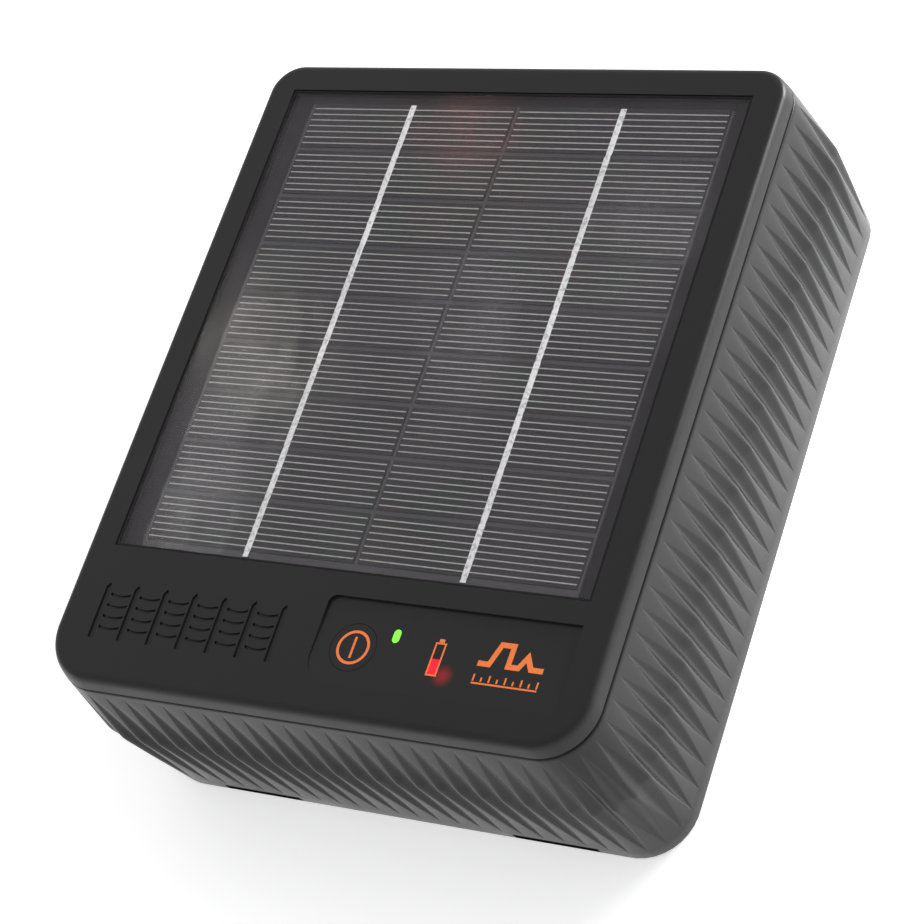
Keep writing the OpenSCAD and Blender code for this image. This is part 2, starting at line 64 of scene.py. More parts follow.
def cad_copy(node, name):
    obj = bpy.data.objects.new(name, frame["nodes"][node].data.copy())
    bpy.context.scene.collection.objects.link(obj)
    weld(obj)
    return obj


def weld(obj, dist=1e-6):
    bm = bmesh.new()
    bm.from_mesh(obj.data)
    bmesh.ops.remove_doubles(bm, verts=bm.verts, dist=dist)
    bmesh.ops.recalc_face_normals(bm, faces=bm.faces)
    bm.to_mesh(obj.data)
    bm.free()


def bake_modifiers(obj):
    bpy.context.view_layer.update()
    dg = bpy.context.evaluated_depsgraph_get()
    mesh = bpy.data.meshes.new_from_object(obj.evaluated_get(dg))
    obj.modifiers.clear()
    obj.data = mesh


def cut(obj, tool, operation):
    m = obj.modifiers.new("cut", "BOOLEAN")
    m.operation, m.object, m.solver = operation, tool, "MANIFOLD"
    bake_modifiers(obj)
    bpy.data.objects.remove(tool)


def soften(obj, degrees=32, planes=()):
    """Smooth shading, broken at steep edges and round the faces that lie in the given planes."""
    mesh = obj.data
    mesh.shade_smooth()
    bm = bmesh.new()
    bm.from_mesh(mesh)
    bmesh.ops.dissolve_degenerate(bm, dist=2e-6, edges=bm.edges)
    bm.faces.index_update()
    limit = math.radians(degrees)
    flat = [any(f.normal.dot(p) > 0.999995 for p in planes) for f in bm.faces]
    for face in bm.faces:
        face.smooth = not flat[face.index]
    for e in bm.edges:
        if len(e.link_faces) == 2:
            a, b = e.link_faces
            bend = a.normal.angle(b.normal, math.pi)
            e.smooth = bend < limit and not (bend > 0.003 and (flat[a.index] or flat[b.index]))
    bm.to_mesh(mesh)
    bm.free()


def prism(points, z0, z1):
    n = len(points)
    verts = [(x, y, z0) for x, y in points] + [(x, y, z1) for x, y in points]
    faces = [tuple(range(n))[::-1], tuple(range(n, 2 * n))]
    faces += [(i, (i + 1) % n, n + (i + 1) % n, n + i) for i in range(n)]
    return verts, faces


def tube_faces(rings, n):
    """The four-sided faces that join each ring of n points to the next."""
    return [(k * n + i, k * n + (i + 1) % n, (k + 1) * n + (i + 1) % n, (k + 1) * n + i)
        for k in range(rings - 1) for i in range(n)]


def capped_tube(rings):
    """A closed solid through a list of rings of points."""
    n = len(rings[0])
    last = (len(rings) - 1) * n
    faces = tube_faces(len(rings), n)
    faces += [tuple(range(n))[::-1], tuple(range(last, last + n))]
    return [v for ring in rings for v in ring], faces


def join_meshes(parts):
    verts, faces = [], []
    for v, f in parts:
        base = len(verts)
        verts += v
        faces += [tuple(i + base for i in face) for face in f]
    return verts, faces


# ---------------------------------------------------------------- materials
class Nodes:
    """A material being built: one Principled shader and the nodes that feed it."""

    def __init__(self, name):
        self.mat = bpy.data.materials.new(name)
        self.mat.use_nodes = True
        self.tree = self.mat.node_tree
        self.shader = self.tree.nodes["Principled BSDF"]
        self.place = self.add("ShaderNodeTexCoord").outputs["Object"]

    def add(self, kind, **props):
        node = self.tree.nodes.new(kind)
        for key, value in props.items():
            setattr(node, key, value)
        return node

    def link(self, source, target):
        self.tree.links.new(source, target)

    def set(self, **values):
        for key, value in values.items():
            self.shader.inputs[key.replace("_", " ")].default_value = value

    def noise(self, scale, detail=3.0, roughness=0.55, stretch=(1, 1, 1)):
        """Noise with features about 1 / scale metres across."""
        mapping = self.add("ShaderNodeMapping")
        mapping.inputs["Scale"].default_value = stretch
        self.link(self.place, mapping.inputs["Vector"])
        node = self.add("ShaderNodeTexNoise")
        node.inputs["Scale"].default_value = scale
        node.inputs["Detail"].default_value = detail
        node.inputs["Roughness"].default_value = roughness
        self.link(mapping.outputs["Vector"], node.inputs["Vector"])
        return node.outputs["Fac"]

    def ramp(self, fac, stops):
        node = self.add("ShaderNodeValToRGB")
        ramp = node.color_ramp
        while len(ramp.elements) < len(stops):
            ramp.elements.new(0.5)
        for element, (at, colour) in zip(ramp.elements, stops):
            element.position = at
            element.color = (*colour, 1)
        self.link(fac, node.inputs["Fac"])
        return node.outputs["Color"]

    def span(self, fac, low, high, to_low, to_high, smooth=False):
        node = self.add("ShaderNodeMapRange")
        node.interpolation_type = "SMOOTHSTEP" if smooth else "LINEAR"
        for key, value in zip(("From Min", "From Max", "To Min", "To Max"), (low, high, to_low, to_high)):
            node.inputs[key].default_value = value
        self.link(fac, node.inputs["Value"])
        return node.outputs["Result"]

    def math(self, operation, a, b):
        node = self.add("ShaderNodeMath", operation=operation)
        for socket, value in zip(node.inputs, (a, b)):
            if isinstance(value, (int, float)):
                socket.default_value = value
            else:
                self.link(value, socket)
        return node.outputs[0]

    def bump(self, height, strength, distance, after=None):
        node = self.add("ShaderNodeBump")
        node.inputs["Strength"].default_value = strength
        node.inputs["Distance"].default_value = distance
        self.link(height, node.inputs["Height"])
        if after is not None:
            self.link(after, node.inputs["Normal"])
        self.link(node.outputs["Normal"], self.shader.inputs["Normal"])
        return node.outputs["Normal"]

    def colour(self, socket):
        self.link(socket, self.shader.inputs["Base Color"])

    def rough(self, fac, low, high, start=0.3, end=0.7):
        self.link(self.span(fac, start, end, low, high), self.shader.inputs["Roughness"])


def shade(rgb, k):
    return tuple(min(1.0, c * k) for c in rgb)


def plastic(name, rgb, rough=0.5, grain=3500, depth=0.00002, spread=0.12, strength=0.35, gloss=0.4):
    m = Nodes(name)
    cloud = m.noise(55, 4)
    fine = m.noise(grain, 2)
    m.colour(m.ramp(cloud, [(0.3, shade(rgb, 1 - spread)), (0.7, shade(rgb, 1 + spread))]))
    m.rough(cloud, rough - 0.06, rough + 0.06)
    m.bump(fine, strength, depth)
    m.set(Specular_IOR_Level=gloss)
    return m


def rubber(name, rgb, rough=0.75):
    m = plastic(name, rgb, rough, grain=2200, depth=0.00005, strength=0.5)
    m.set(Specular_IOR_Level=0.25)
    return m


def foam(name, rgb):
    m = Nodes(name)
    cells = m.add("ShaderNodeTexVoronoi")
    cells.inputs["Scale"].default_value = 2500
    m.link(m.place, cells.inputs["Vector"])
    m.colour(m.ramp(cells.outputs["Distance"], [(0.1, shade(rgb, 0.5)), (0.6, rgb)]))
    m.bump(cells.outputs["Distance"], 0.8, 0.0001)
    m.rough(cells.outputs["Distance"], 0.85, 0.95)
    return m


def metal(name, rgb, rough=0.3, stretch=(1, 1, 1), grain=1800, scratch=0.00002):
    m = Nodes(name)
    fine = m.noise(grain, 3, stretch=stretch)
    cloud = m.noise(220, 4)
    m.colour(m.ramp(cloud, [(0.3, shade(rgb, 0.82)), (0.7, shade(rgb, 1.05))]))
    m.rough(fine, rough - 0.09, rough + 0.12)
    m.bump(fine, 0.4, scratch)
    m.set(Metallic=1.0)
    return m


def tinned(name, rgb):
    """Solder-coated copper strip: half mirror, half frosted white, with small dull spots, and a faint
    painted white glow.
    """
    m = metal(name, rgb, 0.34, grain=1100, scratch=0.0004)
    m.colour(m.ramp(m.noise(1300, 2, 0.5), [(0.34, shade(rgb, 0.6)), (0.5, rgb)]))
    # Faint white emission: a painted glow that brightens the strip. The strip is not a lamp.
    m.set(Metallic=0.3, Emission_Color=(1, 1, 1, 1), Emission_Strength=0.1)
    return m


def board(name, rgb):
    m = Nodes(name)
    weave = m.add("ShaderNodeTexBrick")
    weave.inputs["Scale"].default_value = 150
    weave.inputs["Mortar Size"].default_value = 0.03
    for key, k in (("Color1", 0.9), ("Color2", 1.1), ("Mortar", 1.9)):
        weave.inputs[key].default_value = (*shade(rgb, k), 1)
    m.link(m.place, weave.inputs["Vector"])
    m.colour(weave.outputs["Color"])
    cloud = m.noise(300, 3)
    m.rough(cloud, 0.28, 0.45)
    m.bump(weave.outputs["Fac"], 0.5, 0.00003)
    return m


def winding(name, rgb):
    m = Nodes(name)
    wave = m.add("ShaderNodeTexWave", bands_direction="X")
    wave.inputs["Scale"].default_value = 420
    wave.inputs["Distortion"].default_value = 0.6
    m.link(m.place, wave.inputs["Vector"])
    m.colour(m.ramp(wave.outputs["Fac"], [(0.1, shade(rgb, 0.35)), (0.7, rgb)]))
    m.rough(wave.outputs["Fac"], 0.28, 0.42)
    m.bump(wave.outputs["Fac"], 0.8, 0.00015)
    m.set(Metallic=0.9)
    return m


def lamp(name, rgb, glow, strength):
    m = Nodes(name)
    fine = m.noise(900, 2)
    m.colour(m.ramp(fine, [(0.3, shade(rgb, 0.85)), (0.7, rgb)]))
    m.rough(fine, 0.2, 0.35)
    m.bump(fine, 0.2, 0.00003)
    m.set(Emission_Color=(*glow, 1), Emission_Strength=strength, Coat_Weight=0.3)
    return m


def paint(name, rgb, glow=0.0):
    m = Nodes(name)
    fine = m.noise(1500, 3)
    m.colour(m.ramp(fine, [(0.25, shade(rgb, 0.86)), (0.75, shade(rgb, 1.04))]))
    m.rough(fine, 0.45, 0.62)
    m.bump(fine, 0.3, 0.00002)
    m.set(Emission_Color=(*rgb, 1), Emission_Strength=glow)
    return m


def red_lens(name, level):
    """The battery gauge: red light below the level, a dark lens above it."""
    m = lamp(name, (0.03, 0.012, 0.012), (1.0, 0.004, 0.018), 1.0)
    m.set(Coat_Weight=0.0, Specular_IOR_Level=0.25)
    y = m.add("ShaderNodeSeparateXYZ")
    m.link(m.place, y.inputs[0])
    lit = m.span(y.outputs["Y"], level - 0.0002, level + 0.0002, 1, 0)
    m.colour(m.ramp(lit, [(0, (0.012, 0.010, 0.010)), (1, (0.45, 0.01, 0.02))]))
    m.link(m.math("MULTIPLY", lit, 1.2), m.shader.inputs["Emission Strength"])
    return m


def silicon(name):
    """Solar cells: near-black grey with the faint tints of their coating, row by row."""
    m = Nodes(name)
    cloud = m.noise(26, 3, stretch=(1, 1.6, 1))
    tint = m.ramp(cloud, [(0.30, (0.022, 0.022, 0.025)), (0.45, (0.034, 0.027, 0.034)),
        (0.58, (0.024, 0.030, 0.029)), (0.72, (0.046, 0.028, 0.033))])
    m.colour(tint)
    fine = m.noise(2600, 2)
    m.rough(fine, 0.32, 0.5)
    m.bump(fine, 0.3, 0.00002)
    m.set(Specular_IOR_Level=0.25)
    return m


def laminate(name):
    """The clear, slightly rippled film over the cells: mostly see-through, with a soft uneven gloss."""
    m = Nodes(name)
    ripple = m.noise(1250, 2, 0.5)
    waves = m.noise(60, 2, 0.5)
    m.bump(ripple, 0.4, 0.00004, after=m.bump(waves, 0.2, 0.001))
    m.colour(m.ramp(waves, [(0.3, (0.03, 0.028, 0.032)), (0.7, (0.05, 0.045, 0.05))]))
    m.rough(ripple, 0.07, 0.15)
    m.set(IOR=2.3)
    clear = m.add("ShaderNodeBsdfTransparent")
    mix = m.add("ShaderNodeMixShader")
    out = m.tree.nodes["Material Output"]
    m.link(m.span(waves, 0.35, 0.65, 0.08, 0.13), mix.inputs["Fac"])
    m.link(clear.outputs[0], mix.inputs[1])
    m.link(m.shader.outputs[0], mix.inputs[2])
    m.link(mix.outputs[0], out.inputs["Surface"])
    return m


def middle(node):
    """The centre of a node's box seen from the front, in millimetres."""
    low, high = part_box(node)
    return (low.x + high.x) / 2 / MM, (low.y + high.y) / 2 / MM


gauge_x, gauge_y = middle("battery_light_pipe")
COVER = (0.0085, 0.0085, 0.0087)
HOUSING = (0.011, 0.011, 0.0112)
RECIPES = {
    "cover_plastic": lambda n: plastic(n, COVER, 0.4, spread=0.05, gloss=0.3),
    "housing_plastic": lambda n: plastic(n, HOUSING, 0.28, spread=0.06, gloss=0.2),
    "back_plastic": lambda n: plastic(n, (0.035, 0.035, 0.036), 0.55, spread=0.08),
    "seal_rubber": lambda n: rubber(n, (0.012, 0.012, 0.012)),
    "foam_tape": lambda n: foam(n, (0.02, 0.02, 0.02)),
    "panel_board": lambda n: plastic(n, (0.088, 0.080, 0.088), 0.45, grain=900, spread=0.12),
    "solar_silicon": silicon,
    "ribbon_metal": lambda n: tinned(n, (0.95, 0.95, 0.96)),
    "panel_laminate": laminate,
    "green_light": lambda n: lamp(n, (0.10, 0.45, 0.03), (0.21, 0.87, 0.045), 1.0),
    "red_light": lambda n: red_lens(n, (gauge_y - 0.5) * MM),
    "led_lens": lambda n: lamp(n, (0.7, 0.7, 0.6), (0.6, 0.6, 0.5), 0.1),
    "switch_plastic": lambda n: plastic(n, (0.02, 0.02, 0.02), 0.4),
    "zinc_steel": lambda n: metal(n, (0.55, 0.56, 0.58), 0.36, stretch=(1, 1, 5)),
    "stainless_steel": lambda n: metal(n, (0.62, 0.61, 0.59), 0.26, stretch=(1, 1, 8)),
    "circuit_board": lambda n: board(n, (0.01, 0.11, 0.035)),
    "capacitor_case": lambda n: plastic(n, (0.02, 0.05, 0.22), 0.35, grain=1500),
    "core_steel": lambda n: metal(n, (0.16, 0.15, 0.15), 0.5, stretch=(1, 12, 1)),
    "bobbin_plastic": lambda n: plastic(n, (0.55, 0.52, 0.44), 0.45),
    "winding_copper": lambda n: winding(n, (0.78, 0.33, 0.13)),
    "black_epoxy": lambda n: plastic(n, (0.018, 0.018, 0.018), 0.6, grain=2600, strength=0.6),
    "can_sleeve": lambda n: plastic(n, (0.02, 0.02, 0.03), 0.3, grain=1200),
    "connector_nylon": lambda n: plastic(n, (0.72, 0.70, 0.64), 0.5),
    "battery_wrap": lambda n: plastic(n, (0.02, 0.12, 0.32), 0.28, grain=700, strength=0.25),
    "cradle_plastic": lambda n: plastic(n, (0.06, 0.06, 0.062), 0.5),
    "wire_pvc": lambda n: plastic(n, (0.45, 0.03, 0.02), 0.42, grain=1600),
    "fence_red": lambda n: plastic(n, (0.50, 0.018, 0.012), 0.38, spread=0.1),
    "earth_green": lambda n: plastic(n, (0.012, 0.20, 0.05), 0.38, spread=0.1),
}

MATERIALS = {}
for entry in frame["record"]["materials"]:
    slot = entry["slot"]
    MATERIALS[slot] = RECIPES[slot](slot).mat
SLOT_OF = {part["node"]: part["material_slot"] for part in frame["record"]["subparts"]}
for node, obj in frame["nodes"].items():
    obj.data.materials.clear()
    obj.data.materials.append(MATERIALS[SLOT_OF[node]])


def finish_piece(obj, body, slot, material=None, replaces=()):
    obj.data.materials.clear()
    obj.data.materials.append(material or MATERIALS[slot])
    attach(obj, body)
    if replaces:
        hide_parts(*replaces)


# ---------------------------------------------------------------- case outline
case_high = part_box("main_housing")[1] / MM
RIDGE_Z, RIDGE_FLARE = 28.3, 2.95
FLARES = [(0, 1.14), (RIDGE_Z, RIDGE_FLARE), (50.5, 0.7)]
RIDGE_ROUND = 0.14
HALF_W, HALF_H = case_high.x - RIDGE_FLARE, case_high.y - RIDGE_FLARE
TOP_R, BOTTOM_R = 7.2, 11.8
ZONES = [("right", 28), ("top_right", 3), ("top", 24), ("top_left", 3), ("left", 28),
    ("bottom_left", 5), ("bottom", 21), ("bottom_right", 5)]


def flare(z):
    """How far the wall leans out at a height: two straight slopes and a slightly rounded ridge."""
    (z0, f0), (z1, f1), (z2, f2) = FLARES
    rear = f0 + (f1 - f0) * (z - z0) / (z1 - z0)
    front = f1 + (f2 - f1) * (z - z1) / (z2 - z1)
    return 0.5 * (rear + front - math.hypot(rear - front, RIDGE_ROUND))


def corner(cx, cy, r, run, start, u):
    """A corner zone: a straight run, a quarter arc of radius r round (cx, cy), and another run."""
    arc = math.pi / 2 * r
    s = u * (arc + 2 * run)
    along = np.clip(s - run, 0, arc) / r + start
    normal = np.stack([np.cos(along), np.sin(along)], -1)
    tangent = np.stack([-np.sin(along), np.cos(along)], -1)
    rest = np.where(s < run, s - run, np.where(s > run + arc, s - run - arc, 0))
    return np.array([cx, cy]) + r * normal + rest[:, None] * tangent, normal


def edge_points(zone, u, d):
    """Points and outward normals of the outline grown by d, at fractions u of a zone, anticlockwise."""
    x, y = HALF_W + d, HALF_H + d
    tx, ty = HALF_W - TOP_R, HALF_H - TOP_R
    bx, by = HALF_W - BOTTOM_R, HALF_H - BOTTOM_R
    run = max(d, 0)
    straight = {"right": ((x, -by), (x, ty)), "top": ((tx, y), (-tx, y)),
        "left": ((-x, ty), (-x, -by)), "bottom": ((-bx, -y), (bx, -y))}
    if zone in straight:
        a, b = (np.array(p) for p in straight[zone])
        t = (b - a) / np.linalg.norm(b - a)
        return a + u[:, None] * (b - a), np.tile([t[1], -t[0]], (len(u), 1))
    if zone == "top_right":
        return corner(tx, ty, TOP_R + d, 0, 0, u)
    if zone == "top_left":
        return corner(-tx, ty, TOP_R + d, 0, math.pi / 2, u)
    r = BOTTOM_R + min(d, 0)
    if zone == "bottom_left":
        return corner(-bx - run, -by - run, r, run, math.pi, u)
    return corner(bx + run, -by - run, r, run, 1.5 * math.pi, u)


def skin(rings, name):
    """A closed solid from rings of points, capped by fans."""
    n = len(rings[0])
    verts = [tuple(p) for ring in rings for p in ring]
    faces = tube_faces(len(rings), n)
    for ring, base, flip in ((rings[0], 0, True), (rings[-1], (len(rings) - 1) * n, False)):
        centre = len(verts)
        verts.append((0, 0, float(ring[0][2])))
        for i in range(n):
            a, b = base + i, base + (i + 1) % n
            faces.append((centre, b, a) if flip else (centre, a, b))
    return to_object(name, verts, faces)


# ---------------------------------------------------------------- fluted housing
FLUTE_LOW, FLUTE_HIGH = 4.0, 48.4
FLUTE_DEPTH = 1.5
FLUTE_ROUND = 0.07
INSET = 0.07
REAR_EDGE_R, FRONT_EDGE_Z, FRONT_EDGE_R = 0.6, 49.7, 0.4
HALF_ACROSS = [0.18, 0.36, 0.52, 0.67, 0.81, 0.92, 1.0]
ACROSS = np.array([-a for a in reversed(HALF_ACROSS)] + [0.0] + HALF_ACROSS)


def flute_size(z):
    """How far a flute has opened at a height: 0 at its tips to 1 on the ridge."""
    if z <= RIDGE_Z:
        t = (z - FLUTE_LOW) / (RIDGE_Z - FLUTE_LOW)
    else:
        t = (FLUTE_HIGH - z) / (FLUTE_HIGH - RIDGE_Z)
    t = min(max(t, 0), 1)
    whole = math.hypot(1, FLUTE_ROUND)
    return (whole - math.hypot(1 - t, FLUTE_ROUND)) / (whole - FLUTE_ROUND)


def edge_rounding(z):
    """How far the wall draws in at its rear and front edges."""
    if z < 0:
        return REAR_EDGE_R
    if z < REAR_EDGE_R:
        return REAR_EDGE_R - math.sqrt(max(REAR_EDGE_R ** 2 - (REAR_EDGE_R - z) ** 2, 0))
    if z > FRONT_EDGE_Z:
        return FRONT_EDGE_R - math.sqrt(max(FRONT_EDGE_R ** 2 - (z - FRONT_EDGE_Z) ** 2, 0))
    return 0.0


def housing_ring(z):
    t = flute_size(z)
    width = 0.03 + 0.95 * (1 - (1 - t) ** 1.7)
    ring = []
    for zone, count in ZONES:
        local = np.append(ACROSS * width / 2, 0.5)
        u = np.concatenate([(k + 0.5 + local) / count for k in range(count)])
        x = np.tile(local, count)
        fade = 1.0
        if "_" in zone:
            mid = np.abs(u - 0.5) * 2
            fade = 0.8 + 0.2 * mid * mid * (3 - 2 * mid)
        depth = FLUTE_DEPTH * t * fade + 1e-4
        drop = depth * np.maximum(1 - (2 * x / width) ** 2, 0) ** 2
        points, normals = edge_points(zone, u, flare(z) - INSET - edge_rounding(z))
        points = points - normals * drop[:, None]
        ring += [(px, py, z) for px, py in points]
    return ring


steps = [0.015, 0.04, 0.075, 0.12, 0.17, 0.23, 0.3, 0.38, 0.46, 0.55, 0.64, 0.72, 0.8, 0.86, 0.91, 0.94,
    0.965, 0.985]
levels = [-0.8, 0, 0.02, 0.08, 0.18, 0.34, REAR_EDGE_R, FLUTE_LOW]
levels += [FLUTE_LOW + s * (RIDGE_Z - FLUTE_LOW) for s in steps] + [RIDGE_Z]
levels += [FLUTE_HIGH - s * (FLUTE_HIGH - RIDGE_Z) for s in reversed(steps)]
levels += [FLUTE_HIGH, 49.2, FRONT_EDGE_Z, 49.9, 50.05, 50.09]
housing = skin([housing_ring(z) for z in levels], "fluted_housing")
cut(housing, cad_copy("main_housing", "housing_core"), "INTERSECT")
soften(housing, 70, planes=(Vector((0, 0, -1)),))
finish_piece(housing, "case", "housing_plastic", replaces=("main_housing",))

# ---------------------------------------------------------------- front cover
FACE_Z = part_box("front_cover")[1].z / MM
RECESS_TOP, RECESS_BOTTOM, RECESS_DEPTH = -51.1, -70.3, 0.7
EDGE = [(40, 0.5), (50.45, 0.5), (50.6, 0.58), (51.6, 0.42), (52.5, 0.26), (53.0, 0.16), (53.3, 0.08),
    (53.55, -0.01), (53.8, -0.14), (54.0, -0.28), (54.17, -0.45), (54.3, -0.66), (54.4, -0.93),
    (54.46, -1.22), (54.485, -1.5), (54.49, -1.75)]


def cover_ring(z, d):
    ring = []
    for zone, _count in ZONES:
        n = 26 if "_" in zone else 12
        points, _normals = edge_points(zone, np.arange(n) / n, d)
        ring += [(px, py, z) for px, py in points]
    return ring


def emblem():
    """A row of fence posts with wires between them, as cutters for the front face."""
    low, high, left, pitch = -67.4, -54.7, -54.6, 7.5
    posts, half, sag_depth, wire = 7, 0.75, 0.55, 0.32
    z0, z1 = FACE_Z - 0.38, FACE_Z + 1
    parts = []
    for k in range(posts):
        x = left + k * pitch
        parts.append(prism([(x - half, low), (x + half, low), (x + half, high - 1), (x, high),
            (x - half, high - 1)], z0, z1))
        if k == posts - 1:
            break
        for level in (-57.2, -59.7, -62.2, -64.7):
            lower, upper = [], []
            for j in range(9):
                u = j / 8
                sag = sag_depth * 4 * u * (1 - u)
                px = x + 1.15 + u * (pitch - 2.3)
                lower.append((px, level - sag - wire))
                upper.append((px, level - sag + wire))
            parts.append(prism(lower + upper[::-1], z0, z1))
    verts, faces = join_meshes(parts)
    return to_object("emblem_cut", verts, faces)


cover = skin([cover_ring(z, d) for z, d in EDGE], "front_shell")
cut(cover, cad_copy("front_cover", "cover_core"), "INTERSECT")
cut(cover, emblem(), "DIFFERENCE")
TILT = math.atan2(RECESS_DEPTH, RECESS_TOP - RECESS_BOTTOM)
soften(cover, 32, planes=(Vector((0, 0, 1)), Vector((0, math.sin(TILT), math.cos(TILT)))))
finish_piece(cover, "case", "cover_plastic", replaces=("front_cover",))

# The cover's shader paints a soft red glow on the face round the point (31.0, -65.1). This is painted
# light on the plastic, not a lamp.
glow = Nodes("cover_with_painted_glow")
glow_cloud = glow.noise(55, 4)
glow.colour(glow.ramp(glow_cloud, [(0.3, shade(COVER, 0.95)), (0.7, shade(COVER, 1.05))]))
glow.rough(glow_cloud, 0.34, 0.46)
glow.bump(glow.noise(3500, 2), 0.35, 0.00002)
glow.set(Specular_IOR_Level=0.3, Emission_Color=(1.0, 0.004, 0.012, 1))
reach = glow.add("ShaderNodeVectorMath", operation="DISTANCE")
glow.link(glow.place, reach.inputs[0])
reach.inputs[1].default_value = (31.0 * MM, -65.1 * MM, FACE_Z * MM)
painted_halo = glow.span(reach.outputs["Value"], 0.0, 0.0028, 0.24, 0, smooth=True)
glow.link(painted_halo, glow.shader.inputs["Emission Strength"])
cover.data.materials[0] = glow.mat

# ---------------------------------------------------------------- control panel icons
ORANGE = (0.86, 0.19, 0.035)
# The orange print also gets a faint orange emission (0.1). This is a painted glow, not a lamp.
orange = paint("orange_ink", ORANGE, 0.1)


def facet_z(y):
    return FACE_Z - RECESS_DEPTH * (y - RECESS_BOTTOM) / (RECESS_TOP - RECESS_BOTTOM)


def band(left, right, closed, top=0.02, bottom=-0.1, level=facet_z):
    """A closed slab between two matching lines, on the control facet or at another level."""
    n = len(left)
    verts = [(x, y, level(y) + h) for h in (top, bottom) for line in (left, right) for x, y in line]
    tl, tr, bl, br = 0, n, 2 * n, 3 * n
    faces = []
    for i in range(n if closed else n - 1):
        j = (i + 1) % n
        faces += [(tl + i, tl + j, tr + j, tr + i), (bl + i, br + i, br + j, bl + j),
            (tl + i, bl + i, bl + j, tl + j), (tr + i, tr + j, br + j, br + i)]
    if not closed:
        for k in (0, n - 1):
            faces.append((tl + k, tr + k, br + k, bl + k) if k == 0 else (tl + k, bl + k, br + k, tr + k))
    return verts, faces


def stroke(points, width, **place):
    """A band of constant width along a line of points, with mitred turns."""
    pts = np.array(points, float)
    d = np.diff(pts, axis=0)
    d /= np.linalg.norm(d, axis=1)[:, None]
    left, right = [], []
    for i, p in enumerate(pts):
        a, b = d[max(i - 1, 0)], d[min(i, len(d) - 1)]
        na, nb = np.array([-a[1], a[0]]), np.array([-b[1], b[0]])
        m = (na + nb) / np.linalg.norm(na + nb)
        off = m * (width / 2) / max(m @ na, 0.35)
        left.append(tuple(p + off))
        right.append(tuple(p - off))
    return band(left, right, False, **place)


def circle(cx, cy, r, n=72):
    angles = [math.tau * i / n for i in range(n)]
    return [(cx + r * math.cos(a), cy + r * math.sin(a)) for a in angles]


def ink(name, parts, body):
    obj = to_object(name, *join_meshes(parts))
    weld(obj, 1e-9)
    finish_piece(obj, body, "cover_plastic", material=orange.mat)
    return obj


bx, by = middle("power_button")
ink("power_icon", [band(circle(bx, by, 3.74), circle(bx, by, 3.14), True),
    stroke([(bx, by - 2.35), (bx, by + 2.35)], 0.52)], "button")


def gauge_body(grow):
    w, top, foot = 1.15 + grow, 3.05 + grow, -3.95 - grow
    return [(gauge_x + x, gauge_y + y) for x, y in ((-w, foot), (w, foot), (w, top), (-w, top))]


ink("gauge_icon", [band(gauge_body(0.1), gauge_body(-0.25), True),
    stroke([(gauge_x, gauge_y + 3.2), (gauge_x, gauge_y + 3.95)], 1.2)], "case")

pulse = [(37.6, -61.4), (40.1, -61.4), (41.6, -57.0), (44.3, -57.0), (44.3, -61.4), (46.6, -61.4),
    (48.0, -58.9), (49.4, -61.4), (52.1, -61.4)]
marks = [stroke([(37.6, -65.6), (52.1, -65.6)], 0.36)]
for k in range(9):
    x = 37.8 + 1.76 * k
    marks.append(stroke([(x, -65.2), (x, -63.7 if k % 2 == 0 else -64.3)], 0.36))
ink("pulse_icon", [stroke(pulse, 1.15), *marks], "case")

# ---------------------------------------------------------------- solar panel
cells_low, cells_high = (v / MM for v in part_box("solar_cells"))
ribbons_low, ribbons_high = (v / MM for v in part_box("cell_ribbons"))
COLUMNS = [(cells_low.x, 1.5), (2.5, cells_high.x)]
ROWS, ROW_PITCH = 9, 12.4
RIBBON_W = 1.6
RIBBON_X = [ribbons_low.x + RIBBON_W / 2, ribbons_high.x - RIBBON_W / 2]


def block(x0, x1, y0, y1, z0, z1):
    return prism([(x0, y0), (x1, y0), (x1, y1), (x0, y1)], z0, z1)


fingers = []
for x0, x1 in COLUMNS:
    for row in range(ROWS):
        top = cells_high.y - row * ROW_PITCH
        for k in range(7):
            y = top - 1.16 - 1.525 * k
            fingers.append(block(x0 + 0.25, x1 - 0.25, y - 0.12, y + 0.12, cells_high.z - 0.01,
                cells_high.z + 0.04))
finger_lines = to_object("cell_fingers", *join_meshes(fingers))
silver = Nodes("silver_paste")
speckle = silver.noise(1300, 3)
silver.colour(silver.ramp(speckle, [(0.3, (0.42, 0.41, 0.40)), (0.7, (0.66, 0.65, 0.63))]))
silver.rough(speckle, 0.4, 0.6)
silver.bump(speckle, 0.4, 0.00002)
finish_piece(finger_lines, "case", "ribbon_metal", material=silver.mat)


def ribbon(x):
    """One tinned strip: laid row by row with small steps, dents and a pinch at each joint."""
    low, high = ribbons_low.y, ribbons_high.y
    n = int((high - low) / 0.35)
    across = [-1, -0.86, -0.45, 0, 0.45, 0.86, 1]
    shifts = [random.uniform(-0.07, 0.07) for _ in range(ROWS + 1)]
    rings = []
    for i in range(n + 1):
        y = low + (high - low) * i / n
        rows_down = (cells_high.y + 0.55 - y) / ROW_PITCH
        row = min(int(rows_down), ROWS - 1)
        from_joint = abs(rows_down - round(rows_down)) * ROW_PITCH
        pinch = max(0, 1 - from_joint / 0.6) * (0 if i in (0, n) else 1)
        half = 0.70 - 0.10 * pinch + random.uniform(-0.015, 0.015)
        wave = 0.018 * math.sin(y * 1.9 + x) + random.uniform(-0.014, 0.014)
        ring = []
        for a in across:
            crown = -0.05 if abs(a) == 1 else (-0.01 if abs(a) > 0.5 else 0)
            z = ribbons_high.z - 0.035 + crown + wave * (1 - abs(a)) - 0.05 * pinch
            ring.append((x + shifts[row] + a * half, y, z))
        ring += [(x + shifts[row] + a * half, y, ribbons_low.z) for a in (1, -1)]
        rings.append(ring)
    return capped_tube(rings)


ribbons = to_object("tinned_ribbons", *join_meshes([ribbon(x) for x in RIBBON_X]))
weld(ribbons, 1e-9)
soften(ribbons, 50)
finish_piece(ribbons, "case", "ribbon_metal", replaces=("cell_ribbons",))

# ---------------------------------------------------------------- back
PLATE_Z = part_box("back_cover")[0].z / MM
MARK_W = 0.8
moulded = {"level": lambda y: PLATE_Z, "top": 0.05, "bottom": -0.4}


